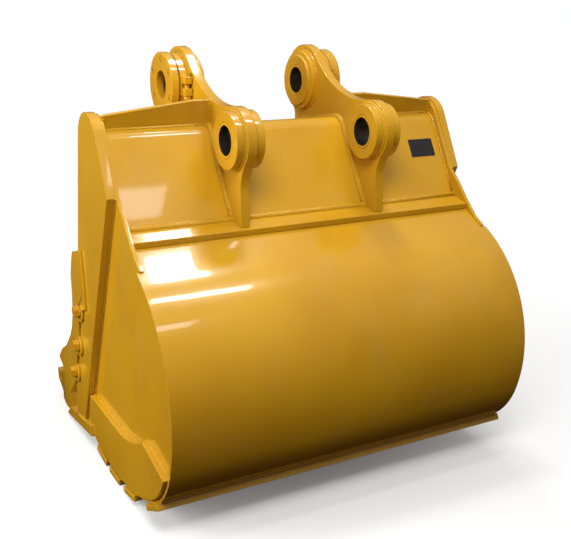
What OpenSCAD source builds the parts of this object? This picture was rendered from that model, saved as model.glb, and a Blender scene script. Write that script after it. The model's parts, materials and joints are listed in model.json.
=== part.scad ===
// Excavator digging bucket for 90 mm pins. X runs across the bucket, +Y to the
// digging side, +Z up. The side profile is set out from the link pin, and the
// whole bucket is then placed with its stick pin at the origin.

/* [Pins and ears] */
// Diameter of both pins, which is the bore of the bushings
pin_d = 90; // [70:1:110]
// Distance between the stick pin and the link pin
pin_spacing = 461; // [420:1:560]
// Angle by which the stick pin lies above the link pin
pin_rise = 17.6; // [14:0.2:21]
// Clear width between the inboard faces of the ears
ear_gap = 390; // [300:2:480]
// Thickness of an ear plate
ear_t = 32; // [25:1:40]
// Length of a boss on the inboard face of an ear
boss_in = 31; // [24:1:40]
// Length of a boss on the outboard face of an ear
boss_out = 29; // [22:1:40]
// Wall of a pin bushing
bush_wall = 9; // [6:1:12]
// Wall of a boss round its bushing
boss_wall = 34; // [28:1:42]
// Rim of the ear plate round the link pin boss
link_rim = 12; // [8:1:20]
// Rim of the ear plate round the stick pin boss
stick_rim = 22; // [16:1:30]
// Radius of the saddle between the two pins
saddle_r = 388; // [330:2:470]
// Width of the ear tail that runs down the torque tube
tail_y = 42; // [34:1:46]

/* [Bowl] */
// Width of the wrapper
bowl_w = 1242; // [1040:2:1500]
// Thickness of the rolled wrapper plate
shell_t = 12; // [10:1:20]
// Thickness of a side plate
side_t = 12; // [10:1:16]
// How far the wrapper stands out past the side plates
overhang = 8; // [4:1:12]
// Flat length of the wrapper below the flange
back_flat = 112; // [92:1:140]
// Radius of the back of the wrapper
back_r = 425; // [350:1:514]
// Radius of the heel of the wrapper
heel_r = 286; // [238:1:345]
// Radius of the floor of the wrapper
floor_r = 894; // [744:2:1074]

/* [Torque tube] */
// Thickness of the torque tube plates
tube_t = 14; // [10:1:16]
// Bend radius of the torque tube
tube_bend = 55; // [40:1:66]
// Width of the flange strip between wrapper and torque tube
flange_w = 110; // [95:1:130]
// Thickness of the flange strip
flange_t = 20; // [14:1:24]

/* [Side bars and cutters] */
// Thickness of a side bar
bar_t = 27; // [20:1:32]
// Radius of the round top of a side bar
bar_top_r = 95; // [84:1:104]
// How far a side cutter stands proud of its side bar
cutter_proud = 8; // [6:1:14]
// Thread size of the side cutter bolts
cutter_bolt_d = 24; // [20:1:27]

/* [Lip and adapters] */
// Thickness of the lip plate
lip_t = 40; // [32:1:50]
// Depth of the lip plate from back to front
lip_depth = 330; // [290:2:400]
// Number of tooth adapters along the lip
adapter_count = 5; // [3:1:5]
// Width of an adapter
adapter_w = 76; // [64:1:90]
// Diameter of the retainer hole in an adapter nose
retainer_d = 24; // [18:1:30]

/* [Wear plates] */
// Thickness of the wear strips under the bowl
strip_t = 18; // [14:1:26]
// Width of a wear strip
strip_w = 104; // [80:1:116]
// Thickness of a heel plate on the side of the bowl
heel_plate_t = 20; // [12:1:25]

/* [Pin retention] */
// Length of the retaining collar beyond the outboard boss
collar_len = 32; // [26:1:40]
// Thickness of the shims behind the adjuster ring
shim_t = 6; // [2:1:10]
// Number of cap screws in the adjuster ring
ring_screws = 6; // [4:1:8]
// Thread size of the adjuster ring screws
ring_screw_d = 12; // [10:1:14]
// Thread size of the pin lock bolts
lock_bolt_d = 16; // [14:1:20]

/* [Hidden] */
$fn = 96;

paint = "goldenrod";
shadow_paint = "darkgoldenrod";
bare_steel = "gray";
dark_steel = "dimgray";

// Depth by which a straight line bites into the arc that it runs into
nip = 0.25;

// Directions and lines in the side profile, as [y, z]
function dir(a) = [cos(a), sin(a)];
function across(p, q) = atan2(q[1] - p[1], q[0] - p[0]);
// Centre of the circle of radius r3 that touches circles (c1, r1) and (c2, r2) from outside
function kiss(c1, r1, c2, r2, r3, side) =
    let (d = norm(c2 - c1), p = r1 + r3, q = r2 + r3, u = (c2 - c1) / d,
         along = (p * p - q * q + d * d) / (2 * d), up = sqrt(p * p - along * along))
    c1 + along * u + side * up * [-u[1], u[0]];
// Direction from c to the point where the line from p touches circle (c, r)
function tangent(p, c, r, side) = across(c, p) + side * acos(r / norm(p - c));

// Centre of the bend between a line from p along a and a line through q along b
function corner_centre(p, a, q, b, r) =
    let (u = p + r * dir(a - 90), v = q + r * dir(b - 90), k = sin(b) * cos(a) - cos(b) * sin(a))
    u + ((v[0] - u[0]) * sin(b) - (v[1] - u[1]) * cos(b)) / k * dir(a);

// Pins
link_pin = [0, 0];
stick_pin = pin_spacing * dir(pin_rise);
bush_r = pin_d / 2 + bush_wall;
boss_r = bush_r + boss_wall;
step_boss_r = boss_r + 14;
link_ear_r = boss_r + link_rim;
stick_ear_r = step_boss_r + stick_rim;
ear_in = ear_gap / 2 + boss_in;
ear_out = ear_in + ear_t;
hub_out = ear_out + boss_out;
collar_out = hub_out + collar_len;

// Widths across the bucket
wrap_out = bowl_w / 2;
side_out = wrap_out - overhang;
side_in = side_out - side_t;
bar_out = side_out + bar_t;
cutter_out = bar_out + cutter_proud;

// Flange strip between the wrapper and the torque tube
flange_edge = [-55, -264];
flange_tilt = 12.5;
flange_in = flange_edge + flange_w * dir(flange_tilt);
flange_down = flange_t * dir(flange_tilt - 90);

// Wrapper: a flat, then three arcs that run into each other
back_slope = 209;
back_start = flange_edge + flange_down + 4 * dir(flange_tilt);
back_a = back_slope - 90;
heel_a = 200.8;
floor_a = 246.8;
floor_end_a = 284.6;
back_top = back_start + back_flat * dir(back_slope);
back_c = back_top - back_r * dir(back_a);
heel_c = back_c + (back_r - heel_r) * dir(heel_a);
floor_c = heel_c - (floor_r - heel_r) * dir(floor_a);
floor_end = floor_c + floor_r * dir(floor_end_a);
ground_z = floor_c[1] - floor_r - strip_t;
mouth_high = [420, -120];
mouth_low = [250, -300];

// Lip plate: it starts where the wrapper ends and points slightly down
lip_tilt = -7.8;
lip_dir = dir(lip_tilt);
lip_up = dir(lip_tilt + 90);
lip_back = floor_end + 6 * lip_up;
lip_bevel = 60;

// Side profile points of the bars
bar_step = [50, -153];
side_edge = [[-97, -303], [-48, -255], [0, -200]];
notch = back_start + (back_flat - 14) * dir(back_slope);
bar_top_c = [226, -14];
bar_front = [414, -386];
bar_foot_back = lip_back + lip_t * lip_up + 70 * lip_dir;
bar_foot_front = lip_back + lip_t * lip_up + 176 * lip_dir;
bar_waist = [bar_front + [68, -214], bar_front + [140, -400]];

// Torque tube section
tube_foot = flange_edge + (flange_w - 32) * dir(flange_tilt);
tube_knee = [158, 2];
tube_crest = [196, 31];
tube_nose = [452, -2];
tube_rear_a = across(tube_foot, tube_knee);
tube_top_a = across(tube_crest, tube_nose);
tube_bend_c = corner_centre(tube_foot, tube_rear_a, tube_crest, tube_top_a, tube_bend);
tube_nose_r = 30;
tube_nose_c = corner_centre(tube_crest, tube_top_a, tube_nose, -90, tube_nose_r);
tube_chin = [tube_nose[0], -76];

// Adapters and the side cutter
adapter_back = 184;
adapter_reach = 608;
adapter_x = side_out + 10 - adapter_w / 2;
adapter_top = 62;
cutter_tip = lip_back + [374, 176];
cutter_bolt_at = [bar_front + [12, -216], bar_front + [52, -352], bar_front + [112, -470]];
finger_r = 1.6 * cutter_bolt_d;

// Retention parts on the stick pin
ring_r = step_boss_r + 4;
screw_pitch_r = (bush_r + ring_r) / 2 + 3;
screw_head_r = 0.75 * ring_screw_d;
screw_depth = 0.7 * boss_out;
lock_w = 26;
lock_h = 62;
lock_y = 42;
lock_x = (hub_out + ear_out) / 2;

module placed() { translate([0, -stick_pin[0], -stick_pin[1]]) children(); }
// Turns a side profile into a plate between two places across the bucket
module plate(x0, x1) { translate([x0, 0, 0]) rotate([90, 0, 90]) linear_extrude(x1 - x0) children(); }
// The plate on the left (-1) or the right (+1) of the bucket
module side_pair_plate(side, x0, x1) {
    plate(side > 0 ? x0 : -x1, side > 0 ? x1 : -x0) children();
}
// Twice the area inside a loop of points, negative where it runs clockwise
function turn(p) = [for (i = [0:len(p) - 1]) cross(p[i], p[(i + 1) % len(p)])] * [for (q = p) 1];
// A polygon that always runs anticlockwise
module outline(p) { polygon(turn(p) < 0 ? [for (i = [len(p) - 1:-1:0]) p[i]] : p); }
module disc(c, r) { translate(c) circle(r, $fn = r > 200 ? 360 : 96); }
// A sector of a disc from angle a0 to angle a1
module sector(c, r, a0, a1) {
    intersection() {
        disc(c, r);
        translate(c) outline([[0, 0], 2 * r * dir(a0), 2 * r * dir((a0 + a1) / 2), 2 * r * dir(a1)]);
    }
}
// A ring or shaft across the bucket, centred on a point of the side profile
module across_ring(side, c, r_out, r_in, x0, x1) {
    side_pair_plate(side, x0, x1) difference() {
        disc(c, r_out);
        if (r_in > 0) disc(c, r_in);
    }
}
// A flat bar of a section, from point p along angle a, with its thickness to the right of a
module bar_section(p, a, l, t) { translate(p) rotate(a) translate([0, -t]) square([l, t]); }

// Everything inside the wrapper, offset inwards by t; the flat runs on upwards by rise
// and the outline closes across the mouth through the point top
module bowl_profile(t, rise, top) {
    n = dir(back_a);
    end = dir(floor_end_a + 4);
    sector(back_c, back_r - t, back_a - 12, heel_a);
    disc(heel_c, heel_r - t + nip);
    intersection() {
        disc(floor_c, floor_r - t);
        outline([heel_c, floor_c + 1.1 * floor_r * dir(floor_a),
                 floor_c + 1.1 * floor_r * dir((floor_a + floor_end_a) / 2),
                 floor_c + 1.1 * floor_r * end, floor_c + (floor_r - 300) * end]);
    }
    outline([back_c, back_top - (t + nip) * n, back_start - (t + nip) * n - rise * dir(back_slope),
             top, floor_c + (floor_r - 150) * end, heel_c]);
}
// Everything in front of the edge where the wrapper meets the lip
module past_floor_end() {
    translate(floor_c) rotate(floor_end_a) translate([floor_r - 260, 0]) square([400, 400]);
}
module flange_profile() { bar_section(flange_edge, flange_tilt, flange_w, flange_t); }
module above_flange() {
    bar_section(flange_edge + 500 * dir(flange_tilt + 90) - 400 * dir(flange_tilt),
                flange_tilt, 1300, 500 + flange_t);
}
module lip_profile() {
    front = lip_back + lip_depth * lip_dir;
    outline([lip_back, front, front + 8 * lip_up,
             front + lip_t * lip_up - lip_bevel * lip_dir, lip_back + lip_t * lip_up]);
}
// The lip and all that lies under it, which the side plates stand on
module under_lip() {
    outline([lip_back + lip_t * lip_up, lip_back + lip_t * lip_up + 900 * lip_dir,
             lip_back + 900 * lip_dir - 300 * lip_up, lip_back - 300 * lip_up]);
}

// ---- Bowl ----
module wrapper_shell() {
    color(paint) difference() {
        plate(-wrap_out, wrap_out) difference() {
            bowl_profile(0, 60, mouth_high);
            bowl_profile(shell_t, 60, mouth_high);
            above_flange();
            past_floor_end();
        }
        for (side = [-1, 1]) side_pair_plate(side, side_in, wrap_out + 1) above_notch();
    }
}
// The side plates come out past the wrapper above this notch
module above_notch() {
    translate(notch) rotate(back_slope) translate([-500, -300]) square([500, 600]);
}
module flange_strip() { color(paint) plate(-side_in, side_in) flange_profile(); }

module side_outline() {
    top_r = bar_top_r - 6;
    n = dir(back_a);
    rear = tangent(bar_step, bar_top_c, top_r, -1);
    front = tangent(bar_front - [6, 0], bar_top_c, top_r, 1);
    disc(bar_top_c, top_r);
    outline([notch - (shell_t + 20) * n, notch + 6 * n, side_edge[0], side_edge[1], side_edge[2],
             bar_step, bar_top_c + (top_r - nip) * dir(rear), bar_top_c,
             bar_top_c + (top_r - nip) * dir(front),
             bar_front - [6, 0], bar_waist[0] - [6, 0], bar_waist[1] - [6, 0],
             bar_foot_front - [6, 0], bar_foot_back, [bar_foot_back[0] - 200, -900], back_c]);
    bowl_profile(shell_t, 0, mouth_low);
}
module side_plate(side) {
    color(paint) side_pair_plate(side, side_in, side_out) difference() {
        side_outline();
        under_lip();
        adapter_room();
        for (at = cutter_bolt_at) disc(at, cutter_bolt_d / 2 + 1);
    }
}
module side_plate_left() { side_plate(-1); }
module side_plate_right() { side_plate(1); }

module bar_outline() {
    rear = tangent(bar_step, bar_top_c, bar_top_r, -1);
    front = tangent(bar_front, bar_top_c, bar_top_r, 1);
    disc(bar_top_c, bar_top_r);
    outline([bar_step, bar_top_c + (bar_top_r - nip) * dir(rear), bar_top_c,
             bar_top_c + (bar_top_r - nip) * dir(front),
             bar_front, bar_waist[0], bar_waist[1], bar_foot_front, bar_foot_back]);
}
module side_bar(side) {
    color(paint) side_pair_plate(side, side_out, bar_out) difference() {
        bar_outline();
        for (at = cutter_bolt_at) disc(at, cutter_bolt_d / 2 + 1);
    }
}
module side_bar_left() { side_bar(-1); }
module side_bar_right() { side_bar(1); }

// Heel plate: its lower edge follows the bowl and its top dips to the front
module heel_plate(side) {
    inset = shell_t + 2;
    color(paint) side_pair_plate(side, side_out, side_out + heel_plate_t) difference() {
        bowl_profile(inset, 0, mouth_low);
        above_heel_line();
        translate(bar_step) rotate(across(bar_step, bar_foot_back)) translate([0, -2]) square([1400, 1400]);
        under_lip();
    }
}
module above_heel_line() {
    peak = heel_c + [-69, -82];
    dip = heel_c + [178, -148];
    dip_r = (pow(dip[0] - peak[0], 2) + pow(peak[1] - dip[1], 2)) / 2 / (peak[1] - dip[1]);
    outline([peak - 900 * dir(13), peak, peak + [0, 1200], peak + [-900, 1200]]);
    intersection() {
        disc(dip + [0, dip_r - nip], dip_r);
        translate([peak[0] - 12, dip[1] - 10]) square([dip[0] - peak[0] + 52, 2 * dip_r]);
    }
    translate(dip) square([900, 1200]);
}
module heel_plate_left() { heel_plate(-1); }
module heel_plate_right() { heel_plate(1); }

module lip_plate() { color(paint) plate(-bar_out, bar_out) lip_profile(); }

// ---- Torque tube ----
// Outer outline of the tube, offset inwards by t and left open towards the bowl
module tube_profile(t) {
    u = t + nip;
    disc(tube_bend_c, tube_bend - t);
    disc(tube_nose_c, tube_nose_r - t);
    outline([tube_foot - 60 * dir(tube_rear_a) + u * dir(tube_rear_a - 90),
             tube_bend_c + (tube_bend - u) * dir(tube_rear_a + 90), tube_bend_c,
             tube_bend_c + (tube_bend - u) * dir(tube_top_a + 90),
             tube_nose_c + (tube_nose_r - u) * dir(tube_top_a + 90), tube_nose_c,
             tube_nose_c + [tube_nose_r - u, 0], tube_nose_c + [tube_nose_r - u, -400],
             [tube_foot[0] + 60, -700]]);
}

// Bent plate that forms the rear, the top and the nose of the tube
module torque_tube_outer() {
    color(paint) plate(-side_in, side_in) difference() {
        tube_profile(0);
        tube_profile(tube_t);
        inner_side();
        below_flange();
    }
}
// Straight plate that closes the tube towards the bowl
module torque_tube_inner() {
    a = across(flange_in, tube_chin);
    color(shadow_paint) plate(-side_in, side_in) difference() {
        bar_section(flange_in + 60 * dir(a + 180), a, norm(tube_chin - flange_in) + 60, tube_t);
        below_flange();
        flange_profile();
    }
}
// Cap that closes an end of the tube
module tube_cap(side) {
    color(shadow_paint) side_pair_plate(side, side_in - tube_t, side_in) difference() {
        tube_profile(tube_t);
        inner_side();
        below_flange();
    }
}
module tube_cap_left() { tube_cap(-1); }
module tube_cap_right() { tube_cap(1); }
// Everything on the bowl side of the tube's closing plate
module inner_side() {
    a = across(flange_in, tube_chin);
    bar_section(flange_in - 200 * dir(a), a, 1100, 900);
}
module below_flange() {
    bar_section(flange_edge - 300 * dir(flange_tilt), flange_tilt, 300 + flange_w, 300);
}
// Sloping gusset between an ear and the side of the bowl
module ear_gusset(side) {
    lean = 18;
    gusset_t = 14;
    foot_y = 205;
    rise = 84;
    color(shadow_paint) translate([0, foot_y, 30]) difference() {
        rotate([90 + lean, 0, 0]) linear_extrude(gusset_t)
            outline([[side * ear_out, -40], [side * side_in, -40], [side * side_in, rise / 2 + 6],
                     [side * (ear_out + 0.17 * (side_in - ear_out)), rise], [side * ear_out, rise]]);
        translate([0, -foot_y, -30]) plate(-side_out, side_out) tube_profile(0);
    }
}
module ear_gusset_left() { ear_gusset(-1); }
module ear_gusset_right() { ear_gusset(1); }

// ---- Ears ----
// Two round heads, a saddle between them, and fillets down to the tail and the front edge
module ear_outline() {
    saddle_c = kiss(link_pin, link_ear_r - nip, stick_pin, stick_ear_r - nip, saddle_r, 1);
    front_y = stick_pin[0] + stick_ear_r / 2;
    front_r = 45;
    front_c = [front_y + front_r - nip, stick_pin[1]
               - sqrt(pow(stick_ear_r + front_r - nip, 2) - pow(front_y + front_r - stick_pin[0], 2))];
    tail_r = 120;
    tail_c = [-tail_y - tail_r + nip,
              -sqrt(pow(link_ear_r + tail_r - nip, 2) - pow(tail_y + tail_r, 2))];
    into_saddle = 40;
    disc(link_pin, link_ear_r);
    disc(stick_pin, stick_ear_r);
    difference() {
        outline([link_pin, tail_c, [-tail_y, tail_c[1]], [-tail_y, -400], [front_y - 60, -200],
                 [front_y, -60], [front_y, front_c[1]], front_c, stick_pin,
                 stick_pin + (stick_ear_r + into_saddle) * dir(across(stick_pin, saddle_c)),
                 link_pin + (link_ear_r + into_saddle) * dir(across(link_pin, saddle_c))]);
        disc(saddle_c, saddle_r);
        disc(front_c, front_r);
        disc(tail_c, tail_r);
    }
}
module ear_plate(side) {
    color(paint) side_pair_plate(side, ear_in, ear_out) difference() {
        ear_outline();
        tube_profile(0);
        below_flange();
        inner_side();
        disc(link_pin, bush_r);
        disc(stick_pin, bush_r);
    }
}
module ear_plate_left() { ear_plate(-1); }
module ear_plate_right() { ear_plate(1); }

module link_boss_inner(side) { color(paint) across_ring(side, link_pin, boss_r, bush_r, ear_gap / 2, ear_in); }
module link_boss_outer(side) { color(paint) across_ring(side, link_pin, boss_r, bush_r, ear_out, hub_out); }
// The inboard boss on the stick pin has a step
module stick_boss_inner(side) {
    step = boss_in / 3;
    color(paint) {
        across_ring(side, stick_pin, step_boss_r, bush_r, ear_gap / 2 + step, ear_in);
        across_ring(side, stick_pin, boss_r, bush_r, ear_gap / 2, ear_in);
    }
}
module stick_boss_outer(side) {
    color(paint) difference() {
        across_ring(side, stick_pin, step_boss_r, bush_r, ear_out, hub_out);
        lock_bolt_hole(side, lock_bolt_d / 2 + 1);
        if (side < 0) screw_places()
            translate([0, 0, -hub_out - 1]) cylinder(h = screw_depth + 1, r = ring_screw_d / 2 + 0.5);
    }
}
module bushing(side, c, x1) { color(bare_steel) across_ring(side, c, bush_r, pin_d / 2, ear_gap / 2, x1); }
module link_boss_inner_left() { link_boss_inner(-1); }
module link_boss_inner_right() { link_boss_inner(1); }
module link_boss_outer_left() { link_boss_outer(-1); }
module link_boss_outer_right() { link_boss_outer(1); }
module stick_boss_inner_left() { stick_boss_inner(-1); }
module stick_boss_inner_right() { stick_boss_inner(1); }
module stick_boss_outer_left() { stick_boss_outer(-1); }
module stick_boss_outer_right() { stick_boss_outer(1); }
module link_bushing_left() { bushing(-1, link_pin, hub_out); }
module link_bushing_right() { bushing(1, link_pin, hub_out); }
module stick_bushing_left() { bushing(-1, stick_pin, hub_out); }
module stick_bushing_right() { bushing(1, stick_pin, hub_out); }

// ---- Pin retention on the stick pin ----
module screw_places() {
    for (i = [0:ring_screws - 1])
        translate([0, stick_pin[0], stick_pin[1]]) rotate([90 + i * 360 / ring_screws, 0, 0])
            translate([0, screw_pitch_r, 0]) rotate([0, 90, 0]) children();
}
module adjuster_shims() {
    color(bare_steel) difference() {
        across_ring(-1, stick_pin, step_boss_r, pin_d / 2, hub_out, hub_out + shim_t);
        screw_places() cylinder(h = 2 * collar_out, r = ring_screw_d / 2 + 0.5, center = true);
    }
}
module adjuster_ring() {
    color(paint) difference() {
        across_ring(-1, stick_pin, ring_r, pin_d / 2, hub_out + shim_t, collar_out);
        screw_places() {
            cylinder(h = 2 * collar_out, r = ring_screw_d / 2 + 0.5, center = true);
            translate([0, 0, -collar_out - 1]) cylinder(h = ring_screw_d + 1, r = screw_head_r + 1);
        }
    }
}
module adjuster_screws() {
    socket_d = ring_screw_d / 2;
    color(dark_steel) screw_places() translate([0, 0, -collar_out]) difference() {
        union() {
            cylinder(h = ring_screw_d, r = screw_head_r);
            cylinder(h = collar_len + screw_depth - 2, r = ring_screw_d / 2 + 0.5);
        }
        translate([0, 0, -1]) cylinder(h = ring_screw_d / 2 + 1, d = 2 * socket_d, $fn = 6);
    }
}
module retaining_collar() { color(paint) across_ring(1, stick_pin, ring_r, pin_d / 2, hub_out, collar_out); }

module lock_bolt_hole(side, r) {
    translate([side * lock_x, stick_pin[0] - step_boss_r - lock_y / 2 + 6, stick_pin[1] - lock_h])
        cylinder(h = 2 * lock_h, r = r);
}
// Lug behind the outboard boss; the lock bolt runs down through it
module lock_lug(side) {
    color(paint) difference() {
        translate([side * lock_x - lock_w / 2, stick_pin[0] - step_boss_r - lock_y + 12,
                   stick_pin[1] - lock_h / 2]) cube([lock_w, lock_y + 20, lock_h]);
        plate(-collar_out, collar_out) disc(stick_pin, step_boss_r);
        lock_bolt_hole(side, lock_bolt_d / 2 + 0.5);
        translate([side * lock_x - lock_w, stick_pin[0] - step_boss_r - lock_y, stick_pin[1] - 7])
            cube([2 * lock_w, lock_y - 2, 14]);
    }
}
module hexagon(af, h) { cylinder(h = h, d = af / cos(30), $fn = 6); }
module lock_bolt(side) {
    color(dark_steel) translate([side * lock_x, stick_pin[0] - step_boss_r - lock_y / 2 + 6, stick_pin[1]]) {
        translate([0, 0, lock_h / 2]) hexagon(1.5 * lock_bolt_d, 0.65 * lock_bolt_d);
        translate([0, 0, -lock_h / 2 - lock_bolt_d]) cylinder(h = lock_h + lock_bolt_d, d = lock_bolt_d);
    }
}
module lock_nut(side) {
    color(dark_steel) difference() {
        translate([side * lock_x, stick_pin[0] - step_boss_r - lock_y / 2 + 6,
                   stick_pin[1] - lock_h / 2 - 0.8 * lock_bolt_d]) hexagon(1.5 * lock_bolt_d, 0.8 * lock_bolt_d);
        lock_bolt_hole(side, lock_bolt_d / 2);
    }
}
module lock_lug_left() { lock_lug(-1); }
module lock_lug_right() { lock_lug(1); }
module lock_bolt_left() { lock_bolt(-1); }
module lock_bolt_right() { lock_bolt(1); }
module lock_nut_left() { lock_nut(-1); }
module lock_nut_right() { lock_nut(1); }

// ---- Side cutters ----
module cutter_outline() {
    outline([bar_front + [-52, 12], bar_front + [52, -16], bar_front + [70, -50],
             bar_front + [90, -102], bar_front + [92, -174], bar_front + [102, -248],
             bar_front + [126, -306], bar_front + [154, -344], bar_front + [226, -408],
             bar_front + [304, -450], cutter_tip, cutter_tip - [58, 26], lip_back + [240, 74],
             cutter_bolt_at[2] + [10, -finger_r], cutter_bolt_at[2], cutter_bolt_at[1],
             cutter_bolt_at[0], bar_front + [-66, -190], bar_front + [-66, -120]]);
    for (at = cutter_bolt_at) {
        disc(at, finger_r);
        translate(at + [0, -finger_r]) square([50, 2 * finger_r]);
    }
}
// A cutter laps over the bar's outer face and fills out to the plate in front of it
module side_cutter(side) {
    color(paint) difference() {
        union() {
            side_pair_plate(side, bar_out, cutter_out) cutter_outline();
            side_pair_plate(side, side_out, bar_out + 1) difference() {
                cutter_outline();
                bar_outline();
            }
        }
        side_pair_plate(side, side_out - 1, cutter_out + 1) under_lip();
        side_pair_plate(side, side_out - 1, adapter_x + adapter_w / 2 + 2) adapter_room();
        for (at = cutter_bolt_at) side_pair_plate(side, side_in, cutter_out + 1)
            disc(at, cutter_bolt_d / 2 + 1);
    }
}
module side_cutter_left() { side_cutter(-1); }
module side_cutter_right() { side_cutter(1); }

module at_cutter_bolts(side, x) {
    for (at = cutter_bolt_at) translate([side * x, at[0], at[1]]) rotate([0, side * 90, 0]) children();
}
module cutter_bolts(side) {
    grip = cutter_out + 4 - side_in;
    color(dark_steel) at_cutter_bolts(side, cutter_out + 4) {
        hexagon(1.5 * cutter_bolt_d, 0.62 * cutter_bolt_d);
        translate([0, 0, -grip - 1.1 * cutter_bolt_d]) cylinder(h = grip + 1.1 * cutter_bolt_d, d = cutter_bolt_d);
    }
}
module cutter_washers(side) {
    color(dark_steel) at_cutter_bolts(side, cutter_out) difference() {
        cylinder(h = 4, d = 1.9 * cutter_bolt_d);
        translate([0, 0, -1]) cylinder(h = 6, d = cutter_bolt_d);
    }
}
module cutter_nuts(side) {
    color(dark_steel) at_cutter_bolts(side, side_in - 0.9 * cutter_bolt_d) difference() {
        hexagon(1.5 * cutter_bolt_d, 0.9 * cutter_bolt_d);
        translate([0, 0, -1]) cylinder(h = 2 * cutter_bolt_d, d = cutter_bolt_d);
    }
}
module cutter_bolts_left() { cutter_bolts(-1); }
module cutter_bolts_right() { cutter_bolts(1); }
module cutter_washers_left() { cutter_washers(-1); }
module cutter_washers_right() { cutter_washers(1); }
module cutter_nuts_left() { cutter_nuts(-1); }
module cutter_nuts_right() { cutter_nuts(1); }

// ---- Adapters ----
function adapter_sites() = [for (i = [0:adapter_count - 1])
    -adapter_x + i * 2 * adapter_x / (adapter_count - 1)];
// Side view of an adapter: a top strap and a lower leg on the lip, then the nose
module adapter_outline() {
    back = lip_back + adapter_back * lip_dir + lip_t * lip_up;
    hump = lip_back + [338, 118];
    nose = lip_back + [adapter_reach, 16];
    outline([back, back + [0, 52], back + [12, 68], hump - [40, 8], hump, hump + [46, -8],
             hump + [132, -48], nose + [-72, 32], nose + [0, 20], nose + [0, -28],
             nose + [-72, -44], [nose[0] - 128, ground_z], [lip_back[0] + 404, ground_z],
             lip_back + [284, -44], lip_back + 186 * lip_dir - 20 * lip_up,
             lip_back + 150 * lip_dir - 12 * lip_up, lip_back + 150 * lip_dir]);
}
// Clearance for an outer adapter at the foot of a side plate
module adapter_room() {
    translate(lip_back + (adapter_back - 2) * lip_dir) square([800, lip_t + 104]);
}
// Plan view of an adapter: it narrows to the nose
module adapter_plan() {
    back_y = lip_back[0] - 20;
    shoulder_y = lip_back[0] + adapter_reach - 124;
    tip_y = lip_back[0] + adapter_reach + 1;
    w = adapter_w / 2;
    outline([[-w, back_y], [w, back_y], [w, shoulder_y - 60], [w - 6, shoulder_y], [w - 12, shoulder_y + 2],
             [w - 18, tip_y], [18 - w, tip_y], [12 - w, shoulder_y + 2], [6 - w, shoulder_y],
             [-w, shoulder_y - 60]]);
}
module adapter(i) {
    hole = lip_back + [adapter_reach - 50, 12];
    color(paint) translate([adapter_sites()[i - 1], 0, 0]) difference() {
        intersection() {
            plate(-adapter_w / 2, adapter_w / 2) adapter_outline();
            translate([0, 0, ground_z - 10]) linear_extrude(400) adapter_plan();
        }
        plate(-adapter_w, adapter_w) lip_profile();
        plate(-adapter_w, adapter_w) disc(hole, retainer_d / 2);
    }
}

// ---- Wear strips ----
// A flat strip whose middle touches the bowl at angle a of the arc (c, r)
module strip_section(c, r, a, w) {
    translate(c + r * dir(a)) rotate(a + 90) translate([-w / 2, -strip_t]) square([w, strip_t + 14]);
}
module wear_strip(c, r, a, w) {
    reach = side_out + heel_plate_t;
    color(shadow_paint) plate(-reach, reach) difference() {
        strip_section(c, r, a, w);
        bowl_profile(0, 0, mouth_low);
    }
}
module heel_strip() { wear_strip(heel_c, heel_r, 243, strip_w + 8); }
function strip_angle(y) = 270 + asin((y - floor_c[0]) / floor_r);
module wear_strip_1() { wear_strip(floor_c, floor_r, strip_angle(18), strip_w); }
module wear_strip_2() { wear_strip(floor_c, floor_r, 270, strip_w); }
module wear_strip_3() { wear_strip(floor_c, floor_r, strip_angle(308), strip_w); }

// Plain black plate on the rear of the torque tube
module rating_plate() {
    a = across(tube_foot, tube_knee);
    plate_w = 100;
    plate_h = 64;
    color("black") plate(side_in - 30 - plate_w, side_in - 30)
        bar_section(tube_foot + 152 * dir(a) + 1.5 * dir(a + 90), a, plate_h, 1.5);
}

placed() wrapper_shell();
placed() flange_strip();
placed() torque_tube_outer();
placed() torque_tube_inner();
placed() tube_cap_left();
placed() tube_cap_right();
placed() lip_plate();
placed() side_plate_left();
placed() side_plate_right();
placed() side_bar_left();
placed() side_bar_right();
placed() heel_plate_left();
placed() heel_plate_right();
placed() side_cutter_left();
placed() side_cutter_right();
placed() cutter_bolts_left();
placed() cutter_bolts_right();
placed() cutter_washers_left();
placed() cutter_washers_right();
placed() cutter_nuts_left();
placed() cutter_nuts_right();
placed() ear_plate_left();
placed() ear_plate_right();
placed() link_boss_inner_left();
placed() link_boss_inner_right();
placed() link_boss_outer_left();
placed() link_boss_outer_right();
placed() stick_boss_inner_left();
placed() stick_boss_inner_right();
placed() stick_boss_outer_left();
placed() stick_boss_outer_right();
placed() link_bushing_left();
placed() link_bushing_right();
placed() stick_bushing_left();
placed() stick_bushing_right();
placed() adjuster_shims();
placed() adjuster_ring();
placed() adjuster_screws();
placed() retaining_collar();
placed() lock_lug_left();
placed() lock_lug_right();
placed() lock_bolt_left();
placed() lock_bolt_right();
placed() lock_nut_left();
placed() lock_nut_right();
placed() ear_gusset_left();
placed() ear_gusset_right();
placed() heel_strip();
placed() wear_strip_1();
placed() wear_strip_2();
placed() wear_strip_3();
placed() rating_plate();
for (i = [1:adapter_count])
    placed() adapter(i);
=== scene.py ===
"""Excavator bucket: paint, steel, weld beads and studio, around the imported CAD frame."""
import json
import math

import bmesh
import bpy
from bpy.props import FloatProperty, FloatVectorProperty, PointerProperty
from mathutils import Matrix, Vector
from mathutils.bvhtree import BVHTree


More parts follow.
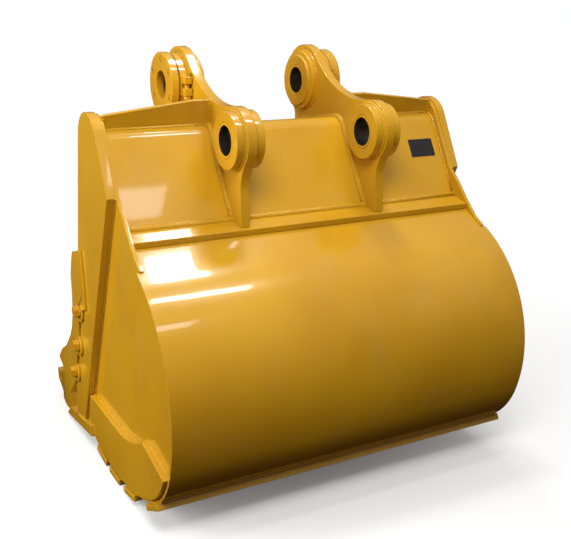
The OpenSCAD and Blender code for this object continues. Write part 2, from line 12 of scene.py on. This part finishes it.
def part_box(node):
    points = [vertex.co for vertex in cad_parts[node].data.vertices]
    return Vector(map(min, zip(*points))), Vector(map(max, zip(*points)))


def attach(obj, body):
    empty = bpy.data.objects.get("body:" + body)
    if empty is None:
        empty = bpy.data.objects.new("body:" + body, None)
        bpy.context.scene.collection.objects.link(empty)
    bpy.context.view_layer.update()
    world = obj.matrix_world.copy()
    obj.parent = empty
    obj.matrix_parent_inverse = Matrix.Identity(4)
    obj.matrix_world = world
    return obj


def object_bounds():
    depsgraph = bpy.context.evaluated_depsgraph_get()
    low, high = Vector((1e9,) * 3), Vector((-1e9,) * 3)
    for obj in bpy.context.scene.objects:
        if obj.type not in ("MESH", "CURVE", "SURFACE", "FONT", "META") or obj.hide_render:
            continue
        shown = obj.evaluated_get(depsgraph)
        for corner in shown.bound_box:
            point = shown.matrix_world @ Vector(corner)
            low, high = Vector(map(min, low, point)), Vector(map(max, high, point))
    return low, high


bl_info = {
    "name": "Excavator Bucket",
    "version": (1, 0, 0),
    "blender": (4, 5, 0),
    "location": "3D View > Sidebar > Bucket",
    "description": "Finishes, weld beads and studio for an excavator bucket",
    "category": "Object",
}

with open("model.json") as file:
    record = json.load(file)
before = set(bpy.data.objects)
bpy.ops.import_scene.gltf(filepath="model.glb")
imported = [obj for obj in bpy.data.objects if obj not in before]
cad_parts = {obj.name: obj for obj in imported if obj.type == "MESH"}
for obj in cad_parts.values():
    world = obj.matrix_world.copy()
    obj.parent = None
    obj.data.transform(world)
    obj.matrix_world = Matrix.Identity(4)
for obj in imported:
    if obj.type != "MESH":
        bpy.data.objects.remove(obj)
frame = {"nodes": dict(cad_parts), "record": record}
NODES = frame["nodes"]
CAD_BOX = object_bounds()
STRIPS = ["heel_strip"] + sorted(n for n in NODES if n.startswith("wear_strip_"))
ADAPTERS = sum(n.startswith("adapter_") for n in NODES)
TREES = {}

# Seams and edges, in metres and radians
SHARP = math.radians(20)
BEVEL_ABOVE = math.radians(32)
MERGE = 0.00002
SEAM_GAP = 0.0009
SEARCH = 0.01
LONGEST_STEP = 0.03
FULL_CONTACT = 0.8
BORE_MARGIN = 0.012
END_FACE = 0.002
NOTCH_MARGIN = 0.004

# Camera: where it stands, its sideways direction and the way it looks
CAMERA_PLACE = (-1.339, -2.7756, 0.1921)
CAMERA_RIGHT = (0.88069, -0.47370, 0.0)
CAMERA_LOOK = (0.45557, 0.84699, -0.27398)
SENSOR = 36

# Overhead panels that face the floor: name, place, size, share of the panel power
PANELS = (
    ("panel", (0.35, -0.11, 1.8), (0.34, 0.48), 1.0),
    ("long strip", (0.47, -1.16, 1.8), (0.62, 0.20), 0.45),
    ("small strip", (0.42, -2.45, 1.8), (0.35, 0.28), 0.10),
)
# Soft lights that leave no reflection: name, place, size, share of the key power
SOFT_LIGHTS = (
    ("key", (-1.25, -2.3, 1.8), (1.4, 1.0), 1.0),
    ("side fill", (-3.2, 0.3, 0.2), (1.6, 1.6), 1.3),
    ("front fill", (1.2, 3.4, 0.6), (1.6, 1.2), 0.8),
)
LIGHT_AIM = (-0.2, -0.4, -0.5)
FLOOR_SIZE = 14
FLOOR_GAP = 0.0005


class BucketPaint(bpy.types.PropertyGroup):
    """Colours and wear of the enamel"""

    enamel: FloatVectorProperty(
        name="Enamel", description="Main colour of the enamel", subtype="COLOR",
        size=3, default=(0.60, 0.318, 0.011), min=0, max=1,
    )
    enamel_deep: FloatVectorProperty(
        name="Deep enamel", description="Colour where the enamel lies thick", subtype="COLOR",
        size=3, default=(0.50, 0.245, 0.008), min=0, max=1,
    )
    gloss: FloatProperty(
        name="Roughness", description="Roughness of the enamel", default=0.22, min=0, max=1,
    )
    peel: FloatProperty(
        name="Orange peel", description="Depth of the sprayed texture", default=0.0001,
        min=0, max=0.002, unit="LENGTH",
    )


class BucketWelds(bpy.types.PropertyGroup):
    """Sizes of the weld beads"""

    leg: FloatProperty(
        name="Leg", description="Radius of a heavy fillet bead", default=0.009,
        min=0.002, max=0.02, unit="LENGTH",
    )
    light_leg: FloatProperty(
        name="Light leg", description="Radius of a light fillet bead", default=0.006,
        min=0.002, max=0.02, unit="LENGTH",
    )
    edge: FloatProperty(
        name="Edge", description="Width of the softened edge of a plate", default=0.0022,
        min=0, max=0.006, unit="LENGTH",
    )


class BucketStudio(bpy.types.PropertyGroup):
    """Camera and light"""

    lens: FloatProperty(
        name="Lens", description="Focal length in mm", default=54.2, min=10, max=300,
    )
    key: FloatProperty(
        name="Key", description="Power of the large soft light, in W", default=80, min=0,
    )
    panel: FloatProperty(
        name="Panel", description="Power of the overhead panel, in W", default=20, min=0,
    )
    sky: FloatProperty(name="Sky", description="Strength of the surround", default=0.42, min=0)


def paint():
    return bpy.context.scene.bucket_paint


def welds():
    return bpy.context.scene.bucket_welds


def studio():
    return bpy.context.scene.bucket_studio


# ---- Node helpers ----
class Tree:
    """A material's node tree with short ways to add and join nodes."""

    def __init__(self, name):
        self.material = bpy.data.materials.new(name)
        self.material.use_nodes = True
        self.nodes = self.material.node_tree.nodes
        self.links = self.material.node_tree.links
        self.shader = self.nodes["Principled BSDF"]
        self.place = self.nodes.new("ShaderNodeTexCoord").outputs["Object"]

    def join(self, value, socket):
        if isinstance(value, bpy.types.NodeSocket):
            self.links.new(value, socket)
        else:
            socket.default_value = value

    def noise(self, scale, detail=4.0, rough=0.55, stretch=(1, 1, 1), warp=0.0):
        mapping = self.nodes.new("ShaderNodeMapping")
        mapping.inputs["Scale"].default_value = stretch
        self.links.new(self.place, mapping.inputs["Vector"])
        node = self.nodes.new("ShaderNodeTexNoise")
        node.inputs["Scale"].default_value = scale
        node.inputs["Detail"].default_value = detail
        node.inputs["Roughness"].default_value = rough
        node.inputs["Distortion"].default_value = warp
        self.links.new(mapping.outputs["Vector"], node.inputs["Vector"])
        return node.outputs["Fac"]

    def ramp(self, value, *stops):
        node = self.nodes.new("ShaderNodeValToRGB")
        elements = node.color_ramp.elements
        for i, (at, level) in enumerate(stops):
            stop = elements[i] if i < len(elements) else elements.new(at)
            stop.position = at
            colour = level if isinstance(level, (tuple, list)) else (level,) * 3
            stop.color = (*colour[:3], 1)
        self.join(value, node.inputs["Fac"])
        return node.outputs["Color"]

    def mix(self, factor, a, b):
        node = self.nodes.new("ShaderNodeMix")
        node.data_type = "RGBA"
        self.join(factor, node.inputs["Factor"])
        for value, socket in ((a, node.inputs["A"]), (b, node.inputs["B"])):
            if isinstance(value, (tuple, list)):
                value = (*value[:3], 1)
            self.join(value, socket)
        return node.outputs["Result"]

    def math(self, kind, a, b=0.0, clamp=False):
        node = self.nodes.new("ShaderNodeMath")
        node.operation = kind
        node.use_clamp = clamp
        self.join(a, node.inputs[0])
        self.join(b, node.inputs[1])
        return node.outputs[0]

    def bump(self, height, depth, strength=1.0, below=None):
        node = self.nodes.new("ShaderNodeBump")
        node.inputs["Strength"].default_value = strength
        node.inputs["Distance"].default_value = depth
        self.join(height, node.inputs["Height"])
        if below is not None:
            self.links.new(below, node.inputs["Normal"])
        return node.outputs["Normal"]

    def finish(self, colour, roughness, normal=None, **constants):
        self.join(colour, self.shader.inputs["Base Color"])
        self.join(roughness, self.shader.inputs["Roughness"])
        if normal is not None:
            self.links.new(normal, self.shader.inputs["Normal"])
        for name, value in constants.items():
            self.shader.inputs[name.replace("_", " ")].default_value = value
        return self.material


def enamel(name, ripple=False):
    """Sprayed two-coat enamel: cloudy colour, orange peel, faint runs, scuffs and dust."""
    p = paint()
    t = Tree(name)
    clouds = t.ramp(t.noise(2.2, 3, 0.5), (0.35, 0.0), (0.68, 1.0))
    colour = t.mix(clouds, tuple(p.enamel), tuple(p.enamel_deep))
    dust = t.ramp(t.noise(9, 6, 0.65, (1, 1, 0.45)), (0.50, 0.0), (0.80, 1.0))
    colour = t.mix(t.math("MULTIPLY", dust, 0.16), colour, (0.42, 0.29, 0.13))
    scuffs = t.ramp(t.noise(34, 8, 0.72, (0.35, 1, 1), 0.6), (0.66, 0.0), (0.74, 1.0))
    colour = t.mix(t.math("MULTIPLY", scuffs, 0.14), colour, (0.30, 0.17, 0.05))
    rough = t.math("ADD", t.math("MULTIPLY", dust, 0.12), p.gloss, clamp=True)
    rough = t.math("ADD", rough, t.math("MULTIPLY", scuffs, 0.18), clamp=True)
    normal = t.bump(t.noise(520, 2, 0.5), p.peel, 0.35)
    normal = t.bump(t.noise(26, 3, 0.5), 0.0008, 0.2, normal)
    if ripple:
        normal = t.bump(t.noise(110, 2, 0.4, (1, 1, 1), 0.8), 0.005, 1.0, normal)
    return t.finish(
        colour, rough, normal, Coat_Weight=0.8, Coat_Roughness=0.05, Specular_IOR_Level=0.4,
    )


def machined_steel(name):
    """Bored steel with turning lines and a little rust, painted on its end faces."""
    t = Tree(name)
    facing = t.nodes.new("ShaderNodeSeparateXYZ")
    t.links.new(t.nodes.new("ShaderNodeNewGeometry").outputs["True Normal"], facing.inputs[0])
    end_face = t.math("GREATER_THAN", t.math("ABSOLUTE", facing.outputs["X"]), 0.6)
    turning = t.noise(420, 2, 0.5, (1, 0.02, 0.02))
    patches = t.ramp(t.noise(14, 6, 0.65), (0.45, 0.0), (0.75, 1.0))
    colour = t.mix(patches, (0.16, 0.15, 0.14), (0.07, 0.05, 0.035))
    colour = t.mix(end_face, colour, tuple(paint().enamel))
    rough = t.math("ADD", t.math("MULTIPLY", patches, 0.25), 0.30)
    normal = t.bump(turning, 0.0003, 0.5)
    t.join(t.math("MULTIPLY", t.math("SUBTRACT", 1.0, end_face), 0.9), t.shader.inputs["Metallic"])
    return t.finish(colour, rough, normal)


def black_plate(name):
    """Gloss black sheet with fine scratches."""
    t = Tree(name)
    scratches = t.ramp(t.noise(160, 3, 0.6, (1, 0.08, 1)), (0.62, 0.0), (0.70, 1.0))
    colour = t.mix(t.math("MULTIPLY", scratches, 0.3), (0.012, 0.012, 0.013), (0.12, 0.11, 0.10))
    rough = t.math("ADD", t.math("MULTIPLY", scratches, 0.3), 0.24)
    return t.finish(colour, rough, t.bump(scratches, 0.0001, 0.4), Coat_Weight=0.3)


def dress(node, material):
    """Gives a CAD node its finish, softened edges and smooth curves, through modifiers only."""
    data = node.data
    data.materials.clear()
    data.materials.append(material)
    join = node.modifiers.new("Join", "WELD")
    join.merge_threshold = MERGE
    bevel = node.modifiers.new("Soft edges", "BEVEL")
    bevel.limit_method = "ANGLE"
    bevel.angle_limit = BEVEL_ABOVE
    bevel.width = welds().edge
    bevel.segments = 2
    bevel.profile = 0.5
    bevel.use_clamp_overlap = True
    shade = node.modifiers.new("Even shading", "WEIGHTED_NORMAL")
    shade.mode = "FACE_AREA"
    shade.weight = 100
    shade.keep_sharp = False
    data.polygons.foreach_set("use_smooth", [True] * len(data.polygons))
    data.update()


def tree_of(node):
    """Search tree of a CAD node's surface, made once."""
    if node not in TREES:
        bm = bmesh.new()
        bm.from_mesh(NODES[node].data)
        TREES[node] = BVHTree.FromBMesh(bm)
        bm.free()
    return TREES[node]


def on_surface(tree, point):
    place, _, _, distance = tree.find_nearest(point, SEARCH)
    return place is not None and distance < SEAM_GAP


def touching_end(tree, middle, end):
    """How far the contact runs from the middle of an edge towards one end."""
    if on_surface(tree, end):
        return end.copy()
    near, far = 0.0, 1.0
    for _ in range(8):
        share = (near + far) / 2
        if on_surface(tree, middle.lerp(end, share)):
            near = share
        else:
            far = share
    return middle.lerp(end, near)


def seam_wire(name, node, against, keep=None):
    """The sharp edges of a CAD node that lie on the surface of its neighbour, as loose edges."""
    tree = tree_of(against)
    bm = bmesh.new()
    bm.from_mesh(NODES[node].data)
    bmesh.ops.remove_doubles(bm, verts=bm.verts, dist=MERGE)
    wire_bm = bmesh.new()
    for edge in bm.edges:
        a, b = (v.co for v in edge.verts)
        middle = (a + b) / 2
        if len(edge.link_faces) == 2 and edge.calc_face_angle(0) < SHARP:
            continue
        if (keep and not keep(middle)) or not on_surface(tree, middle):
            continue
        ends = [touching_end(tree, middle, end) for end in (a, b)]
        if (ends[0] - ends[1]).length > FULL_CONTACT * (a - b).length:
            wire_bm.edges.new([wire_bm.verts.new(end) for end in ends])
    bm.free()
    if not wire_bm.edges:
        raise RuntimeError(f"{name}: {node} has no seam on {against}")
    bmesh.ops.remove_doubles(wire_bm, verts=wire_bm.verts, dist=0.0001)
    long = [e for e in wire_bm.edges if e.calc_length() > LONGEST_STEP]
    if long:
        bmesh.ops.subdivide_edges(wire_bm, edges=long, cuts=3)
    mesh = bpy.data.meshes.new(name)
    wire_bm.to_mesh(mesh)
    wire_bm.free()
    wire = bpy.data.objects.new(name, mesh)
    bpy.context.collection.objects.link(wire)
    return wire


def weld(name, seams, radius, material, keep=None):
    """A rippled fillet bead, round in section, along the seams between pairs of CAD nodes."""
    wires = [
        seam_wire(f"{name}.{i}", node, against, keep) for i, (node, against) in enumerate(seams)
    ]
    for other in bpy.context.selected_objects:
        other.select_set(False)
    for wire in wires:
        wire.select_set(True)
    bpy.context.view_layer.objects.active = wires[0]
    if len(wires) > 1:
        bpy.ops.object.join()
    bpy.ops.object.convert(target="CURVE")
    curve = bpy.context.view_layer.objects.active
    curve.data.dimensions = "3D"
    curve.data.bevel_depth = radius
    curve.data.bevel_resolution = 2
    curve.data.use_fill_caps = True
    bpy.ops.object.convert(target="MESH")
    piece = bpy.context.view_layer.objects.active
    piece.name = name
    piece.data.materials.clear()
    piece.data.materials.append(material)
    piece.data.polygons.foreach_set("use_smooth", [True] * len(piece.data.polygons))
    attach(piece, "root")


def both_sides(*pairs):
    """Pairs of nodes, with * standing for left and then for right."""
    sides = ("left", "right")
    return [tuple(n.replace("*", side) for n in pair) for side in sides for pair in pairs]


class BUCKET_OT_finishes(bpy.types.Operator):
    """Give every CAD node its finish"""

    bl_idname = "bucket.finishes"
    bl_label = "Finishes"

    def execute(self, context):
        by_slot = {
            "yellow_paint": enamel("bucket enamel"),
            "bare_steel": machined_steel("machined steel"),
            "black_plate": black_plate("black plate"),
        }
        slots = {s["node"]: s["material_slot"] for s in frame["record"]["subparts"]}
        for name, node in NODES.items():
            dress(node, by_slot[slots[name]])
        return {"FINISHED"}


class BUCKET_OT_ear_welds(bpy.types.Operator):
    """Run the beads round the ears, bosses, lugs and gussets"""

    bl_idname = "bucket.ear_welds"
    bl_label = "Ear welds"

    def execute(self, context):
        bead = enamel("ear bead enamel", ripple=True)
        w = welds()
        weld("ear_foot_welds", both_sides(("ear_plate_*", "torque_tube_outer")),
             w.leg * 1.35, bead)
        weld("boss_welds", both_sides(
            ("link_boss_inner_*", "ear_plate_*"), ("link_boss_outer_*", "ear_plate_*"),
            ("stick_boss_inner_*", "ear_plate_*"), ("stick_boss_outer_*", "ear_plate_*"),
        ), w.light_leg, bead, keep=self.clear_of_bore)
        weld("gusset_welds", both_sides(
            ("ear_gusset_*", "torque_tube_outer"), ("ear_gusset_*", "ear_plate_*"),
            ("ear_gusset_*", "side_plate_*"),
        ), w.light_leg, bead)
        weld("lug_welds", both_sides(("lock_lug_*", "stick_boss_outer_*")),
             w.light_leg * 0.7, bead)
        return {"FINISHED"}

    @staticmethod
    def clear_of_bore(point):
        for node in ("link_bushing_left", "stick_bushing_left"):
            low, high = (Vector(corner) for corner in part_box(node))
            middle = (low + high) / 2
            reach = (high.z - low.z) / 2 + BORE_MARGIN
            if math.hypot(point.y - middle.y, point.z - middle.z) < reach:
                return False
        return True


class BUCKET_OT_bowl_welds(bpy.types.Operator):
    """Run the beads of the bowl, the tube, the bars and the wear parts"""

    bl_idname = "bucket.bowl_welds"
    bl_label = "Bowl welds"

    def execute(self, context):
        bead = enamel("bowl bead enamel", ripple=True)
        w = welds()
        shell_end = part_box("wrapper_shell")[0][0] + END_FACE
        shell = NODES["wrapper_shell"].data.vertices
        end_top = max(v.co.z for v in shell if v.co.x < shell_end) - NOTCH_MARGIN
        weld("tube_seam_welds", [("torque_tube_outer", "flange_strip")], w.leg * 1.3, bead)
        weld("flange_welds", [("wrapper_shell", "flange_strip")], w.light_leg, bead)
        weld("tube_end_welds", both_sides(("torque_tube_outer", "side_plate_*")),
             w.light_leg, bead)
        weld("side_plate_welds", both_sides(("side_plate_*", "wrapper_shell")), w.light_leg, bead,
             keep=lambda point: point.z < end_top)
        weld("bar_welds", both_sides(("side_bar_*", "side_plate_*")), w.light_leg, bead)
        weld("heel_plate_welds", both_sides(("heel_plate_*", "side_plate_*")), w.light_leg, bead)
        weld("lip_welds", both_sides(("side_bar_*", "lip_plate")), w.light_leg, bead)
        weld("strip_welds", [(strip, "wrapper_shell") for strip in STRIPS], w.light_leg, bead)
        weld("adapter_welds", [(f"adapter_{i}", "lip_plate") for i in range(1, ADAPTERS + 1)],
             w.light_leg, bead)
        return {"FINISHED"}


class BUCKET_OT_studio(bpy.types.Operator):
    """Set the floor, the lights and the camera"""

    bl_idname = "bucket.studio"
    bl_label = "Studio"

    def execute(self, context):
        scene = context.scene
        s = studio()
        floor_mesh = bpy.data.meshes.new("floor")
        bm = bmesh.new()
        bmesh.ops.create_grid(bm, x_segments=1, y_segments=1, size=FLOOR_SIZE)
        bmesh.ops.translate(bm, verts=bm.verts, vec=(0, 0, CAD_BOX[0][2] - FLOOR_GAP))
        bm.to_mesh(floor_mesh)
        bm.free()
        floor = bpy.data.objects.new("floor", floor_mesh)
        context.collection.objects.link(floor)
        floor_mesh.materials.append(self.floor_finish())
        floor.visible_diffuse = False
        floor.visible_glossy = False
        self.surround(scene, s.sky)

        for name, place, size, share in PANELS:
            below = Vector(place) + Vector((0, 0, -1))
            self.lamp(context, name, place, below, size, s.panel * share)
        for name, place, size, share in SOFT_LIGHTS:
            lamp = self.lamp(context, name, place, LIGHT_AIM, size, s.key * share)
            lamp.visible_glossy = False

        right = Vector(CAMERA_RIGHT).normalized()
        back = -Vector(CAMERA_LOOK).normalized()
        up = back.cross(right)
        data = bpy.data.cameras.new("camera")
        data.lens = s.lens
        data.sensor_width = SENSOR
        data.clip_end = 100
        camera = bpy.data.objects.new("camera", data)
        turn = Matrix((right, up, back)).transposed().to_4x4()
        camera.matrix_world = Matrix.Translation(CAMERA_PLACE) @ turn
        context.collection.objects.link(camera)
        scene.camera = camera
        scene.view_settings.view_transform = "Standard"
        return {"FINISHED"}

    @staticmethod
    def floor_finish():
        """Pale floor that turns to an even white away from the bucket."""
        t = Tree("studio floor")
        out = t.nodes["Material Output"]
        t.finish((0.93, 0.93, 0.92, 1), 0.7)
        length = t.nodes.new("ShaderNodeVectorMath")
        length.operation = "LENGTH"
        t.links.new(t.place, length.inputs[0])
        far = t.ramp(t.math("MULTIPLY", length.outputs["Value"], 0.2), (0.24, 0.0), (0.50, 1.0))
        glow = t.nodes.new("ShaderNodeEmission")
        glow.inputs["Color"].default_value = (1, 1, 1, 1)
        blend = t.nodes.new("ShaderNodeMixShader")
        t.links.new(far, blend.inputs[0])
        t.links.new(t.shader.outputs[0], blend.inputs[1])
        t.links.new(glow.outputs[0], blend.inputs[2])
        t.links.new(blend.outputs[0], out.inputs["Surface"])
        return t.material

    @staticmethod
    def surround(scene, strength):
        """White backdrop, and a soft room that is bright above and brown below."""
        world = bpy.data.worlds.new("studio")
        scene.world = world
        world.use_nodes = True
        nodes, links = world.node_tree.nodes, world.node_tree.links
        room = nodes["Background"]
        room.inputs["Strength"].default_value = strength
        place = nodes.new("ShaderNodeTexCoord")
        split = nodes.new("ShaderNodeSeparateXYZ")
        links.new(place.outputs["Generated"], split.inputs[0])
        rise = nodes.new("ShaderNodeMath")
        rise.operation = "MULTIPLY_ADD"
        rise.inputs[1].default_value = 0.5
        rise.inputs[2].default_value = 0.5
        links.new(split.outputs["Z"], rise.inputs[0])
        ramp = nodes.new("ShaderNodeValToRGB")
        stops = ramp.color_ramp.elements
        stops[0].position, stops[0].color = 0.30, (0.06, 0.03, 0.01, 1)
        stops[1].position, stops[1].color = 0.95, (1, 1, 1, 1)
        middle = stops.new(0.52)
        middle.color = (0.36, 0.25, 0.13, 1)
        links.new(rise.outputs[0], ramp.inputs["Fac"])
        links.new(ramp.outputs["Color"], room.inputs["Color"])
        backdrop = nodes.new("ShaderNodeBackground")
        backdrop.inputs["Color"].default_value = (1, 1, 1, 1)
        seen = nodes.new("ShaderNodeLightPath")
        blend = nodes.new("ShaderNodeMixShader")
        links.new(seen.outputs["Is Camera Ray"], blend.inputs[0])
        links.new(room.outputs[0], blend.inputs[1])
        links.new(backdrop.outputs[0], blend.inputs[2])
        links.new(blend.outputs[0], nodes["World Output"].inputs["Surface"])

    @staticmethod
    def lamp(context, name, place, aim, size, power):
        data = bpy.data.lights.new(name, "AREA")
        data.shape = "RECTANGLE"
        data.size, data.size_y = size
        data.energy = power
        lamp = bpy.data.objects.new(name, data)
        lamp.matrix_world = Matrix.Translation(place) @ (
            (Vector(aim) - Vector(place)).to_track_quat("-Z", "Y").to_matrix().to_4x4()
        )
        context.collection.objects.link(lamp)
        return lamp


class BUCKET_PT_sidebar(bpy.types.Panel):
    """Bucket pieces and settings"""

    bl_idname = "BUCKET_PT_sidebar"
    bl_label = "Excavator Bucket"
    bl_space_type = "VIEW_3D"
    bl_region_type = "UI"
    bl_category = "Bucket"

    def draw(self, context):
        layout = self.layout
        scene = context.scene
        for group in (scene.bucket_paint, scene.bucket_welds, scene.bucket_studio):
            box = layout.box()
            for name in group.__annotations__:
                box.prop(group, name)
        for operator in OPERATORS:
            layout.operator(operator.bl_idname)


OPERATORS = (BUCKET_OT_finishes, BUCKET_OT_ear_welds, BUCKET_OT_bowl_welds, BUCKET_OT_studio)
GROUPS = (BucketPaint, BucketWelds, BucketStudio)


def register():
    for cls in (*GROUPS, *OPERATORS, BUCKET_PT_sidebar):
        bpy.utils.register_class(cls)
    bpy.types.Scene.bucket_paint = PointerProperty(type=BucketPaint)
    bpy.types.Scene.bucket_welds = PointerProperty(type=BucketWelds)
    bpy.types.Scene.bucket_studio = PointerProperty(type=BucketStudio)


def unregister():
    del bpy.types.Scene.bucket_studio
    del bpy.types.Scene.bucket_welds
    del bpy.types.Scene.bucket_paint
    for cls in reversed((*GROUPS, *OPERATORS, BUCKET_PT_sidebar)):
        bpy.utils.unregister_class(cls)


def main():
    register()
    bpy.ops.bucket.finishes()
    bpy.ops.bucket.ear_welds()
    bpy.ops.bucket.bowl_welds()
    bpy.ops.bucket.studio()


if __name__ == "__main__":
    main()
